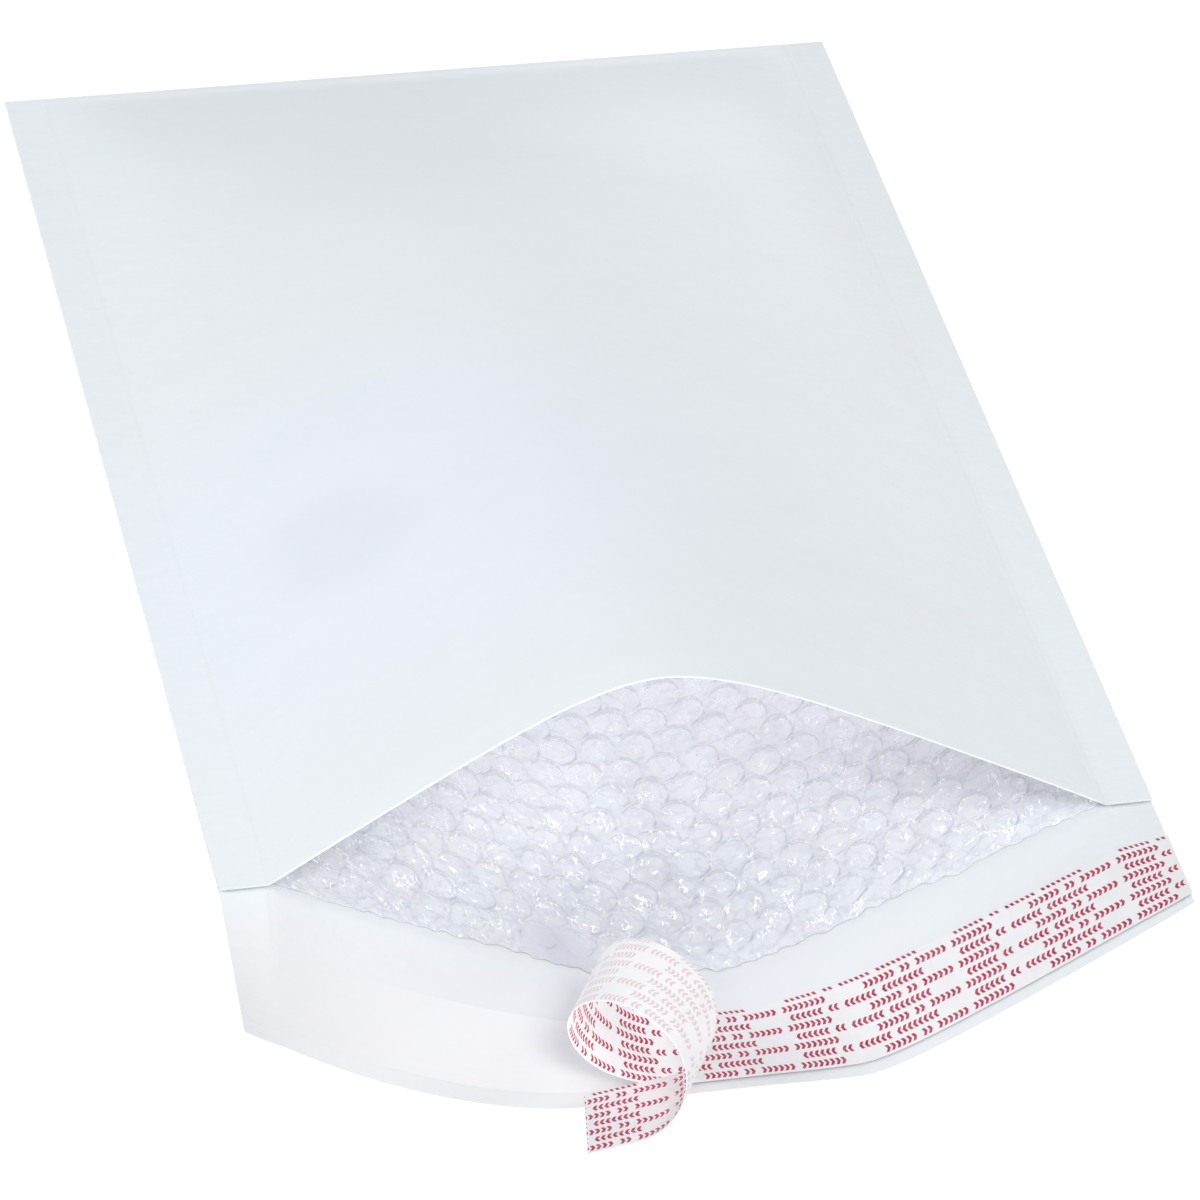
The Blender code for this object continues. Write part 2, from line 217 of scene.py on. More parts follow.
class BagColours(bpy.types.PropertyGroup):
    """The colours of the bag's materials."""

    paper: colour_property("Paper", "The bleached paper", (0.86, 0.89, 0.905))
    paper_warm: colour_property("Paper, warmer", "The paper's faint lilac clouds",
                                (0.87, 0.866, 0.885))
    paper_cool: colour_property("Paper, cooler", "The bluish cloud on the front panel",
                                (0.868, 0.888, 0.945))
    film: colour_property("Film", "The film on the bubbles", (0.93, 0.94, 0.97))
    # The film's rim colour is painted shade, at one side of a bubble's foot and along creases; it
    # also greys the patch where the bubbles are pressed flat
    film_shade_and_grey: colour_property("Film rims", "The film where it bends at a bubble's foot",
                                 (0.5, 0.52, 0.66))
    backing: colour_property("Film backing", "The flat film against the paper",
                             (0.865, 0.89, 0.925))
    glue: colour_property("Glue", "The glue on the flap", (0.87, 0.858, 0.873))
    strip: colour_property("Strip", "The coated paper of the cover strip", (0.86, 0.845, 0.85))
    marks: colour_property("Marks", "The marks printed on the cover strip", (0.45, 0.01, 0.065))


# The open bag: where each place of the flat sheets lies


def trace(arc, slope):
    """Return how far across and up a curve goes, from its slope at each length along it."""
    middle = (slope[1:] + slope[:-1]) / 2
    across = np.cumsum(np.cos(middle) * np.diff(arc))
    up = np.cumsum(np.sin(middle) * np.diff(arc))
    return np.append(0, across), np.append(0, up)


def dish(across, flat, left, right, straight_from):
    """Bend a line up to both sides of its flat middle.

    left and right are a slope and the length over which the line bends up to it.
    """
    arc = np.linspace(0, WIDTH / 2, CURVE_POINTS)
    side_x = {}
    side_z = {}
    for side, (rise, bend) in ((-1, left), (1, right)):
        slope = rise * (1 - np.exp(-np.clip(arc - flat, 0, None) / bend))
        slope = np.where(arc > straight_from, 0, slope)
        x, z = trace(arc, slope)
        side_x[side] = side * np.interp(np.abs(across), arc, x)
        side_z[side] = np.interp(np.abs(across), arc, z)
    leftwards = across < 0
    return (np.where(leftwards, side_x[-1], side_x[1]),
            np.where(leftwards, side_z[-1], side_z[1]))


def arch(across, start, end):
    """Bend the front panel's mouth edge into an arch between its two seams."""
    arc = np.linspace(-POCKET / 2, POCKET / 2, CURVE_POINTS)
    from_crown = arc - FRONT_CROWN
    shape = -np.sign(from_crown) * (1 - np.exp(-np.abs(from_crown) / FRONT_BEND))
    span = math.dist(start, end)
    shallow, steep = 0, math.pi / 2
    for _ in range(40):
        slope = (shallow + steep) / 2
        x, z = trace(arc, slope * shape)
        if math.hypot(x[-1], z[-1]) > span:
            shallow = slope
        else:
            steep = slope
    turn = math.atan2(end[1] - start[1], end[0] - start[0]) - math.atan2(z[-1], x[-1])
    turned_x = start[0] + x * math.cos(turn) - z * math.sin(turn)
    turned_z = start[1] + x * math.sin(turn) + z * math.cos(turn)
    inside = np.clip(across, -POCKET / 2, POCKET / 2)
    return (np.interp(inside, arc, turned_x) + across - inside,
            np.interp(inside, arc, turned_z))


def closed_end(across):
    """Place points of the closed end, on the outside of the back."""
    return np.stack([across, np.full_like(across, LENGTH / 2), np.zeros_like(across)], 1)


def mouth_points(across, x, z):
    """Place points of a mouth edge at the bag's full length from the closed end."""
    sideways = x - across
    y = LENGTH / 2 - np.sqrt(LENGTH ** 2 - sideways ** 2 - z ** 2)
    return np.stack([x, y, z], 1)


def back_profile(across):
    """Return x and z of the back panel's outside along the mouth."""
    return dish(across, BACK_FLAT, (BACK_RISE_LEFT, BACK_BEND), (BACK_RISE_RIGHT, BACK_BEND),
                POCKET / 2)


def back_mouth(across):
    """Place points of the back panel's mouth line."""
    return mouth_points(across, *back_profile(across))


def front_mouth(across):
    """Place points of the front panel's mouth edge, before the layers get their thickness."""
    seam_x, seam_z = back_profile(np.array([-POCKET / 2, POCKET / 2]))
    x, z = arch(across, (seam_x[0], seam_z[0]), (seam_x[1], seam_z[1]))
    points = mouth_points(across, x, z)
    points[:, 1] += FRONT_DIP * np.clip(1 - (2 * across / POCKET) ** 2, 0, 1)
    return points


def flap_edge(across):
    """Place points of the flap's free edge."""
    x, z = dish(across, FLAP_FLAT, (FLAP_RISE_LEFT, FLAP_BEND_LEFT),
                (FLAP_RISE_RIGHT, FLAP_BEND_RIGHT), WIDTH)
    z = z + FLAP_LIFT
    mouth = back_mouth(across)
    reach = FLAP_LENGTH ** 2 - (x - mouth[:, 0]) ** 2 - (z - mouth[:, 2]) ** 2
    return np.stack([x, mouth[:, 1] - np.sqrt(reach), z], 1)


def swell(across, along):
    """Return how full the bubbles stand, from 0 in a seam or the hem to 1."""
    from_seam = np.clip((POCKET / 2 - np.abs(across)) / SIDE_SWELL, 0, 1)
    from_hem = np.clip((LENGTH - HEM_WIDTH - along) / END_SWELL, 0, 1)
    return np.sin(from_seam * math.pi / 2) * np.sin(from_hem * math.pi / 2)


def panels(across, along):
    """Return the outside of the back, and what leads from it to the outside of the front."""
    mouth = back_mouth(across)
    body = np.clip(along / LENGTH, 0, 1)[:, None]
    flap = np.clip(-along / FLAP_LENGTH, 0, None)[:, None]
    back = mouth + (closed_end(across) - mouth) * body + (flap_edge(across) - mouth) * flap
    opened = np.clip(1 - along / (LENGTH - HEM_WIDTH), 0, 1)[:, None]
    opening = (front_mouth(across) - mouth) * opened
    full = swell(across, along)
    lack = (2 * BUBBLE_HEIGHT + GAP) * full - opening[:, 2]
    lift = (lack + np.sqrt(lack ** 2 + (BUBBLE_HEIGHT * full) ** 2)) / 2
    opening[:, 2] += STACK + lift
    return back, opening


def place(points, front):
    """Carry points of a flat sheet, as across, along and depth, to their place in the bag."""
    across, along, depth = points.T
    back, opening = panels(across, along)
    height = np.linalg.norm(opening, axis=1)
    fullness = np.where(along < 0, 1, swell(across, along))
    inwards = np.minimum(depth, SKIN) + np.clip(depth - SKIN, 0, None) * fullness
    share = inwards / height
    return back + opening * np.where(front, 1 - share, share)[:, None]


def curl_path():
    """Return distance rolled up, reach, height and slope along the curl, seen along its axis."""
    rolled = np.linspace(-STRIP_WIDTH, FREE_LENGTH + STRIP_WIDTH, CURVE_POINTS)
    wide_end = CURL_START + WIDE_RADIUS * WIDE_ARC
    slope = np.clip((rolled - CURL_START) / WIDE_RADIUS, 0, WIDE_ARC)
    slope = slope + np.clip((rolled - wide_end) / TIGHT_RADIUS, 0, TIGHT_ARC)
    reach, height = trace(rolled, slope)
    return rolled, reach + rolled[0], height, slope


def curl(run, side, lift):
    """Place points of the loose end of the strip.

    run is the distance from the peeling line, side the distance from the strip's middle towards
    the flap's free edge, and lift the distance above the strip's underside.
    """
    middle = np.array([PEELED_TO])
    mouth = back_mouth(middle)[0]
    outwards = (flap_edge(middle)[0] - mouth) / FLAP_LENGTH
    leftwards = np.array([-1, 0, 0])
    up = np.cross(leftwards, outwards)
    start = mouth + outwards * (STRIP_TOP + STRIP_WIDTH / 2) + up * (PAPER + GLUE + 2 * GAP)
    eased = np.clip(run / TILT_EASE, 0, 1)
    tilt = (CURL_TILT * eased ** 2 * (3 - 2 * eased))[:, None]
    tilted = outwards * np.cos(tilt) + up * np.sin(tilt)
    raised = up * np.cos(tilt) - outwards * np.sin(tilt)

    around = leftwards * math.cos(CURL_TURN) - tilted * math.sin(CURL_TURN)
    axis = leftwards * math.sin(CURL_TURN) + tilted * math.cos(CURL_TURN)
    rolled = run * math.cos(CURL_TURN) - side * math.sin(CURL_TURN)
    along_axis = run * math.sin(CURL_TURN) + side * math.cos(CURL_TURN)
    path = curl_path()
    reach, height, slope = (np.interp(rolled, path[0], values) for values in path[1:])
    reach = (reach - lift * np.sin(slope))[:, None]
    height = (height + lift * np.cos(slope))[:, None]
    return start + around * reach + axis * along_axis[:, None] + raised * height


# Mesh helpers


def evenly(start, end, cell):
    """Return places from start to end that are about one cell apart."""
    return list(np.linspace(start, end, max(1, round(abs(end - start) / cell)) + 1))


def waves(across, along, length, seed, count=7):
    """Return a smooth uneven field, mostly between -1 and 1, whose waves are about length long."""
    chance = np.random.default_rng(seed)
    total = np.zeros_like(across)
    for _ in range(count):
        turn, phase = chance.uniform(0, 2 * math.pi, 2)
        wave = length * chance.uniform(0.7, 1.5)
        total += np.sin((across * math.cos(turn) + along * math.sin(turn)) * 2 * math.pi / wave
                        + phase)
    return total / math.sqrt(count)


def flat_sheet(across_places, along_places, depth):
    """Lay out a flat sheet that is divided at the given places."""
    sheet = bmesh.new()
    bmesh.ops.create_grid(sheet, x_segments=len(across_places) - 1,
                          y_segments=len(along_places) - 1, size=1)
    for vertex in sheet.verts:
        column = round((vertex.co.x + 1) / 2 * (len(across_places) - 1))
        row = round((vertex.co.y + 1) / 2 * (len(along_places) - 1))
        vertex.co = (across_places[column], along_places[row], depth)
    return sheet


def thicken(sheet, thickness):
    """Turn a flat sheet into a closed slab that reaches deeper by its thickness."""
    deeper = bmesh.ops.extrude_face_region(sheet, geom=sheet.faces[:], use_keep_orig=True)
    moved = [item for item in deeper["geom"] if isinstance(item, bmesh.types.BMVert)]
    bmesh.ops.translate(sheet, verts=moved, vec=(0, 0, thickness))


def finish_piece(sheet, name, mover, materials, node, sharp=40):
    """Carry a flat sheet to its place, and hand it over as the piece that stands for a node."""
    data = bpy.data.meshes.new(name)
    sheet.to_mesh(data)
    sheet.free()
    places = np.empty(len(data.vertices) * 3, np.float32)
    data.vertices.foreach_get("co", places)
    kept = data.attributes.new("flat_place", "FLOAT_VECTOR", "POINT")
    kept.data.foreach_set("vector", places)
    moved = mover(places.reshape(-1, 3).astype(float))
    data.vertices.foreach_set("co", moved.astype(np.float32).ravel())
    shell = bmesh.new()
    shell.from_mesh(data)
    bmesh.ops.recalc_face_normals(shell, faces=shell.faces[:])
    shell.to_mesh(data)
    shell.free()
    data.shade_smooth()
    data.set_sharp_from_angle(angle=math.radians(sharp))
    for material in materials:
        data.materials.append(material)
    piece = bpy.data.objects.new(name, data)
    bpy.context.scene.collection.objects.link(piece)
    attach(piece, "root")
    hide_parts(node)
    return piece


# Material helpers


def add_node(tree, kind, settings=None, **inputs):
    """Add a shader node, set it up, and feed its inputs with values or other nodes' outputs."""
    node = tree.nodes.new(kind)
    for key, value in (settings or {}).items():
        setattr(node, key, value)
    for key, value in inputs.items():
        socket = node.inputs[int(key[1:])] if key[0] == "_" else node.inputs[key.replace("_", " ")]
        if isinstance(value, bpy.types.NodeSocket):
            tree.links.new(value, socket)
        else:
            socket.default_value = value
    return node


def maths(tree, operation, *values):
    """Return the output of a Math node."""
    inputs = {f"_{index}": value for index, value in enumerate(values)}
    return add_node(tree, "ShaderNodeMath", {"operation": operation}, **inputs).outputs[0]


def spread(tree, value, low, high, to_low=0.0, to_high=1.0):
    """Return a value stretched from one range to another and kept inside it."""
    return add_node(tree, "ShaderNodeMapRange", {"interpolation_type": "SMOOTHSTEP"}, _0=value,
                    _1=low, _2=high, _3=to_low, _4=to_high).outputs[0]


def mixed_colour(tree, factor, first, second):
    """Return a mix of two colours."""
    node = add_node(tree, "ShaderNodeMix", {"data_type": "RGBA"})
    for index, value in ((0, factor), (6, first), (7, second)):
        if isinstance(value, bpy.types.NodeSocket):
            tree.links.new(value, node.inputs[index])
        elif index == 0:
            node.inputs[0].default_value = value
        else:
            node.inputs[index].default_value = (*value, 1)
    return node.outputs[2]


def noise(tree, vector, size, detail=3.0, roughness=0.55):
    """Return the value of a noise whose grains are about one size across."""
    return add_node(tree, "ShaderNodeTexNoise", Vector=vector, Scale=1 / size, Detail=detail,
                    Roughness=roughness).outputs["Fac"]


def new_material(name, roughness, specular=0.5, coat=0.0, coat_roughness=0.1):
    """Return a new material with its node tree and its shader."""
    material = bpy.data.materials.new(name)
    material.use_nodes = True
    material.cycles.emission_sampling = "NONE"      # the glows are too faint to be lamps
    shader = material.node_tree.nodes["Principled BSDF"]
    shader.inputs["Roughness"].default_value = roughness
    shader.inputs["Specular IOR Level"].default_value = specular
    shader.inputs["Coat Weight"].default_value = coat
    shader.inputs["Coat Roughness"].default_value = coat_roughness
    return material, material.node_tree, shader


def flat_place(tree):
    """Return the flat place as a vector, and its first two values."""
    place_on_sheet = add_node(tree, "ShaderNodeAttribute", {"attribute_name": "flat_place"})
    parts = add_node(tree, "ShaderNodeSeparateXYZ", Vector=place_on_sheet.outputs["Vector"])
    return place_on_sheet.outputs["Vector"], parts.outputs[0], parts.outputs[1]


def near(tree, where, across, along, reach):
    """Return a soft spot on a flat sheet: 1 at its middle, 0 from its reach outwards."""
    away = add_node(tree, "ShaderNodeVectorMath", {"operation": "MULTIPLY_ADD"},
                    _0=where, _1=(1, 1, 0), _2=(-across, -along, 0))
    length = add_node(tree, "ShaderNodeVectorMath", {"operation": "LENGTH"}, _0=away.outputs[0])
    return spread(tree, length.outputs["Value"], 0.25 * reach, reach, 1.0, 0.0)


def bump(tree, shader, height, distance, strength=1.0):
    """Give a shader a bump of the given height field."""
    node = add_node(tree, "ShaderNodeBump", Strength=strength, Distance=distance, Height=height)
    tree.links.new(node.outputs["Normal"], shader.inputs["Normal"])


def new_group(name, inputs, outputs):
    """Return a new node group with the given sockets, and its input and output nodes."""
    group = bpy.data.node_groups.new(name, "ShaderNodeTree")
    for socket_name, kind in inputs:
        group.interface.new_socket(socket_name, in_out="INPUT", socket_type=kind)
    for socket_name in outputs:
        group.interface.new_socket(socket_name, in_out="OUTPUT", socket_type="NodeSocketFloat")
    return group, group.nodes.new("NodeGroupInput"), group.nodes.new("NodeGroupOutput")


def paper_grain():
    """Return the group of the paper's grain: cloudy shade, fibres and soft dents."""
    if "paper_grain" in bpy.data.node_groups:
        return bpy.data.node_groups["paper_grain"]
    group, start, end = new_group(
        "paper_grain",
        (("Place", "NodeSocketVector"), ("Fibre Scale", "NodeSocketFloat"),
         ("Cloud Scale", "NodeSocketFloat")), ("Shade", "Height"))
    place_in, fibre_scale, cloud_scale = start.outputs[:3]
    stretch = add_node(group, "ShaderNodeMapping", Vector=place_in, Scale=(1, 0.35, 1))
    fibres = add_node(group, "ShaderNodeTexNoise", Vector=stretch.outputs[0], Scale=fibre_scale,
                      Detail=2.0, Roughness=0.65)
    clouds = add_node(group, "ShaderNodeTexNoise", Vector=place_in, Scale=cloud_scale,
                      Detail=2.0, Roughness=0.6)
    shade = maths(group, "ADD", maths(group, "MULTIPLY", clouds.outputs["Fac"], 0.75),
                  maths(group, "MULTIPLY", fibres.outputs["Fac"], 0.25))
    height = maths(group, "ADD", maths(group, "MULTIPLY", fibres.outputs["Fac"], 0.4),
                   maths(group, "MULTIPLY", clouds.outputs["Fac"], 0.6))
    group.links.new(shade, end.inputs["Shade"])
    group.links.new(height, end.inputs["Height"])
    return group


def crinkle():
    """Return the group of the sharp little creases in crumpled film and coated paper."""
    if "crinkle" in bpy.data.node_groups:
        return bpy.data.node_groups["crinkle"]
    group, start, end = new_group(
        "crinkle", (("Place", "NodeSocketVector"), ("Scale", "NodeSocketFloat")),
        ("Ridge", "Height"))
    place_in, scale = start.outputs[:2]
    folds = add_node(group, "ShaderNodeTexNoise", Vector=place_in, Scale=scale, Detail=2.0,
                     Roughness=0.5)
    ridge = maths(group, "ABSOLUTE", maths(group, "SUBTRACT", folds.outputs["Fac"], 0.5))
    sharp = spread(group, ridge, 0.0, 0.07, 1.0, 0.0)
    soft = add_node(group, "ShaderNodeTexNoise", Vector=place_in, Scale=scale, Detail=3.0)
    height = maths(group, "ADD", maths(group, "MULTIPLY", sharp, 0.35), soft.outputs["Fac"])
    group.links.new(sharp, end.inputs["Ridge"])
    group.links.new(height, end.inputs["Height"])
    return group


def facets():
    """Return the group of the flat little facets in stiff crumpled film, each tilted anew."""
    if "facets" in bpy.data.node_groups:
        return bpy.data.node_groups["facets"]
    group, start, end = new_group(
        "facets", (("Place", "NodeSocketVector"), ("Scale", "NodeSocketFloat")), ("Height",))
    place_in, scale = start.outputs[:2]
    cells = add_node(group, "ShaderNodeTexVoronoi", Vector=place_in, Scale=scale)
    from_middle = add_node(group, "ShaderNodeVectorMath", {"operation": "SUBTRACT"},
                           _0=place_in, _1=cells.outputs["Position"])
    tilt = add_node(group, "ShaderNodeVectorMath", {"operation": "SUBTRACT"},
                    _0=cells.outputs["Color"], _1=(0.5, 0.5, 0.5))
    rise = add_node(group, "ShaderNodeVectorMath", {"operation": "DOT_PRODUCT"},
                    _0=from_middle.outputs[0], _1=tilt.outputs[0])
    group.links.new(maths(group, "MULTIPLY", rise.outputs["Value"], scale), end.inputs["Height"])
    return group


def add_group(tree, group, **inputs):
    """Place a node group in a material."""
    return add_node(tree, "ShaderNodeGroup", {"node_tree": group}, **inputs)


# Materials


def paper_tone(tree, colours, shade, seam):
    """Return the paper's colour: faint clouds, soft spots of tone, painted shade on the right seam
    flange, near the closed end and on the flap's right, and the pressed seam lines.
    """
    where, across, along = flat_place(tree)
    big_clouds = noise(tree, where, 90 * MM, 2.0)
    warm = spread(tree, maths(tree, "ADD", maths(tree, "MULTIPLY", shade, 0.5),
                              maths(tree, "MULTIPLY", big_clouds, 0.5)), 0.38, 0.66)
    on_flap = maths(tree, "MULTIPLY", spread(tree, along, FLAP_START, FLAP_START + 15 * MM),
                    spread(tree, across, -30 * MM, 30 * MM, 1.0, 0.3))
    warmth = maths(tree, "ADD", maths(tree, "MULTIPLY", warm, 0.55), on_flap)
    tinted = mixed_colour(tree, warmth, colours.paper, colours.paper_warm)
    clean = mixed_colour(tree, near(tree, where, *COOL_PANEL), tinted, colours.paper_cool)
    # Painted shade greys the right seam flange, the front panel near the closed end and the flap's
    # right; the other spots are grey spots of tone
    shade_and_grey_spots = spread(tree, across, POCKET / 2 - 3 * MM, POCKET / 2 + 3 * MM, 0.0, 0.9)
    for spot, strength in ((DULL_SPOT, 1.0), (SHADED_END, 1.4), (SHADED_FLAP, 1.9), (DULL_EDGE, 2.2)):
        shade_and_grey_spots = maths(tree, "MAXIMUM", shade_and_grey_spots,
                     maths(tree, "MULTIPLY", near(tree, where, *spot), strength))
    greyer = tuple(value * 0.8 for value in colours.paper)
    tone = mixed_colour(tree, maths(tree, "MULTIPLY", shade_and_grey_spots, 0.18), clean, greyer)
    return mixed_colour(tree, maths(tree, "MULTIPLY", seam, 0.08), tone, greyer)


def paper_material(colours):
    """Make the smooth bleached paper, with its pressed seam lines and a painted glow along the
    arch's cut edge.
    """
    material, tree, shader = new_material("white_paper", 0.58, specular=0.35)
    where, across, along = flat_place(tree)
    grain = add_group(tree, paper_grain(), Place=where, Fibre_Scale=900.0, Cloud_Scale=55.0)
    from_middle = maths(tree, "ABSOLUTE", across)
    from_seam = maths(tree, "ABSOLUTE", maths(tree, "SUBTRACT", from_middle, POCKET / 2))
    seam = spread(tree, from_seam, 0.0, 1.1 * MM, 1.0, 0.0)
    tree.links.new(paper_tone(tree, colours, grain.outputs["Shade"], seam),
                   shader.inputs["Base Color"])
    # Painted light: the front panel's cut edge along the arch glows white, less near the seams
    cut_edge_glow = maths(tree, "MULTIPLY", spread(tree, along, 0.1 * MM, 0.9 * MM, 1.0, 0.0),
                   spread(tree, from_middle, POCKET / 2 - 6 * MM, POCKET / 2, 1.0, 0.3))
    cut = maths(tree, "MULTIPLY", cut_edge_glow, 0.16)
    tree.links.new(mixed_colour(tree, cut, (0, 0, 0), (1, 1, 1)), shader.inputs["Emission Color"])
    shader.inputs["Emission Strength"].default_value = 1.0
    rough = spread(tree, grain.outputs["Shade"], 0.3, 0.7, 0.5, 0.64)
    tree.links.new(rough, shader.inputs["Roughness"])
    ripples = noise(tree, where, 14 * MM, 2.0)
    wrinkles = maths(tree, "MULTIPLY", noise(tree, where, 4 * MM, 1.0),
                     spread(tree, from_seam, 4 * MM, 70 * MM, 0.5, 0.25))
    height = maths(tree, "ADD", maths(tree, "MULTIPLY", grain.outputs["Height"], 0.12),
                   maths(tree, "SUBTRACT", ripples, maths(tree, "MULTIPLY", seam, 0.12)))
    bump(tree, shader, maths(tree, "ADD", height, wrinkles), 0.55 * MM, 0.6)
    return material


def film_material(colours):
    """Make the clear glossy film: hazy, crumpled on the left, with painted shade at one side of
    each bubble's foot and along the creases, and painted glints that glow.
    """
    material, tree, shader = new_material("bubble_film", 0.12, specular=1.0, coat=1.0,
                                          coat_roughness=0.08)
    shader.inputs["IOR"].default_value = 1.65
    where, across, along = flat_place(tree)
    foot = add_node(tree, "ShaderNodeAttribute", {"attribute_name": "foot"}).outputs["Fac"]
    crumpled = spread(tree, across, -CRUMPLED_FROM - CRUMPLING, -CRUMPLED_FROM, 1.0, 0.0)
    crease = add_group(tree, crinkle(), Place=where, Scale=260.0)
    slanted = add_node(tree, "ShaderNodeMapping", Vector=where, Rotation=(0, 0, math.radians(-35)),
                       Scale=(1, 0.45, 1))
    fine = add_group(tree, crinkle(), Place=slanted.outputs[0], Scale=620.0)
    patchy = spread(tree, noise(tree, where, 5 * MM, 1.0), 0.35, 0.6, 0.3, 1.0)
    # Painted shade at one side of each bubble's foot
    rim_shade = maths(tree, "MULTIPLY", spread(tree, foot, 0.2, 0.85), patchy)
    # Painted shade along the creases, more where the film is crumpled
    folds = maths(tree, "MULTIPLY", crease.outputs["Ridge"],
                  maths(tree, "ADD", 0.12, maths(tree, "MULTIPLY", crumpled, 0.4)))
    shade_lines = maths(tree, "MAXIMUM", rim_shade, folds)
    # Painted glints: white flecks along fine creases, more of them near the mouth edge and none on
    # the pressed patch
    glint_patch = spread(tree, noise(tree, where, 4 * MM, 1.0), 0.53, 0.62)
    edge_glints = spread(tree, along, 1 * MM, 7 * MM, 0.6, 0.0)
    pressed = near(tree, where, *PRESSED_FLAT[0])
    glint = maths(tree, "MULTIPLY", fine.outputs["Ridge"],
                  maths(tree, "SUBTRACT", maths(tree, "MAXIMUM", glint_patch, edge_glints), pressed))
    tone = mixed_colour(tree, shade_lines, colours.film, colours.film_shade_and_grey)
    tree.links.new(mixed_colour(tree, glint, tone, (1.0, 1.0, 1.0)), shader.inputs["Base Color"])
    haze = spread(tree, noise(tree, where, 7 * MM, 1.0), 0.3, 0.7, 0.12, 0.24)
    dense = maths(tree, "MAXIMUM", haze, maths(tree, "MULTIPLY", shade_lines, 0.44))
    tree.links.new(maths(tree, "MAXIMUM", dense, glint), shader.inputs["Alpha"])
    # The painted glints also glow
    tree.links.new(mixed_colour(tree, glint, (0, 0, 0), (0.22, 0.22, 0.22)),
                   shader.inputs["Emission Color"])
    shader.inputs["Emission Strength"].default_value = 1.0
    facet = add_group(tree, facets(), Place=where, Scale=600.0)
    bump(tree, shader, facet.outputs["Height"], 1 * MM, 0.4)
    return material


def backing_material(colours):
    """Make the flat layer of film that lies on the paper, so close that it looks white, with a
    painted glow under the arch, painted shade along its creases and a greyer patch where the
    bubbles are pressed flat.
    """
    material, tree, shader = new_material("film_backing", 0.35, specular=0.4)
    # Painted glow, standing in for light coming through the paper: it grows the deeper the lining
    # lies under the arch, and turns lilac in one spot
    shader.inputs["Emission Strength"].default_value = 0.29
    where, across, along = flat_place(tree)
    sideways = maths(tree, "ABSOLUTE", maths(tree, "SUBTRACT", across, ARCH_TOP[0]))
    inward = maths(tree, "ADD", along, maths(tree, "MULTIPLY", sideways, ARCH_SLOPE))
    deep_glow = maths(tree, "MULTIPLY",
                 maths(tree, "POWER", spread(tree, inward, 15 * MM, ARCH_TOP[1]), 1.3),
                 spread(tree, along, 0.0, ARCH_TOP[1] + MM, 0.33, 1.0))
    through = mixed_colour(tree, near(tree, where, *LILAC_GLOW), (0.96, 0.97, 1), (1, 0.94, 1))
    tree.links.new(mixed_colour(tree, deep_glow, (0, 0, 0), through), shader.inputs["Emission Color"])
    pressed = near(tree, where, *PRESSED_FLAT[0])
    crease = add_group(tree, crinkle(), Place=where, Scale=180.0)
    clouds = spread(tree, noise(tree, where, 22 * MM, 3.0), 0.35, 0.65)
    tone = mixed_colour(tree, clouds, colours.backing, colours.paper_warm)
    # Painted shade along the creases, and greyer where the bubbles are pressed flat
    crease_shade_and_pressed = maths(tree, "MAXIMUM", maths(tree, "MULTIPLY", crease.outputs["Ridge"], 0.3),
                 maths(tree, "MULTIPLY", pressed, 0.35))
    tree.links.new(mixed_colour(tree, crease_shade_and_pressed, tone, colours.film_shade_and_grey),
                   shader.inputs["Base Color"])
    return material


def glue_material(colours):
    """Make the clear tacky glue, a little streaked by the strip that came off it."""
    material, tree, shader = new_material("flap_glue", 0.3, specular=0.5)
    where = flat_place(tree)[0]
    streaks = add_node(tree, "ShaderNodeMapping", Vector=where, Scale=(0.12, 1, 1))
    streak = noise(tree, streaks.outputs[0], 1.6 * MM, 3.0)
    crease = add_group(tree, crinkle(), Place=where, Scale=300.0)
    tone = mixed_colour(tree, spread(tree, streak, 0.35, 0.7), colours.glue, colours.paper_warm)
    tree.links.new(tone, shader.inputs["Base Color"])
    tree.links.new(spread(tree, streak, 0.3, 0.7, 0.34, 0.46), shader.inputs["Roughness"])
    bump(tree, shader, maths(tree, "ADD", streak, crease.outputs["Height"]), 0.02 * MM, 0.5)
    return material


def printed_marks(tree, sizes, run, side):
    """Return the mask of the printed marks: rows of small arrowheads in broken runs.

    Every other row points the other way and starts half a repeat later.
    """
    shifted = maths(tree, "ADD", side, ROW_SHIFT)
    rows = maths(tree, "DIVIDE", shifted, sizes.row_pitch)
    odd = maths(tree, "FLOORED_MODULO", maths(tree, "FLOOR", rows), 2.0)
    height = maths(tree, "SUBTRACT", maths(tree, "FRACT", rows), 0.5)
    from_middle = maths(tree, "ABSOLUTE", height)
    in_row = maths(tree, "LESS_THAN", from_middle, sizes.mark_height / sizes.row_pitch / 2)
    start = maths(tree, "MULTIPLY", odd, sizes.run_repeat * 0.44)
    in_repeat = maths(tree, "FRACT", maths(tree, "DIVIDE", maths(tree, "ADD", run, start),
                                           sizes.run_repeat))
    marks = maths(tree, "MULTIPLY", in_repeat, round(sizes.run_repeat / sizes.mark_pitch))
    number = maths(tree, "FLOOR", marks)
    across_mark = maths(tree, "SUBTRACT", maths(tree, "FRACT", marks), 0.5)
    pointing = maths(tree, "SUBTRACT", 1.0, maths(tree, "MULTIPLY", odd, 2.0))
    slant = maths(tree, "MULTIPLY", across_mark, pointing)
    arrow = maths(tree, "ADD", slant, maths(tree, "SUBTRACT",
                                            maths(tree, "MULTIPLY", from_middle, 1.2), 0.2))
    mask = maths(tree, "LESS_THAN", maths(tree, "ABSOLUTE", arrow), 0.29)
    mask = maths(tree, "MULTIPLY", mask, in_row)
    mask = maths(tree, "MULTIPLY", mask, maths(tree, "LESS_THAN", number, RUN_MARKS - 0.5))
    for bare in RUN_GAPS:
        there = maths(tree, "SUBTRACT", 1.0, maths(tree, "COMPARE", number, bare, 0.5))
        mask = maths(tree, "MULTIPLY", mask, there)
    return mask


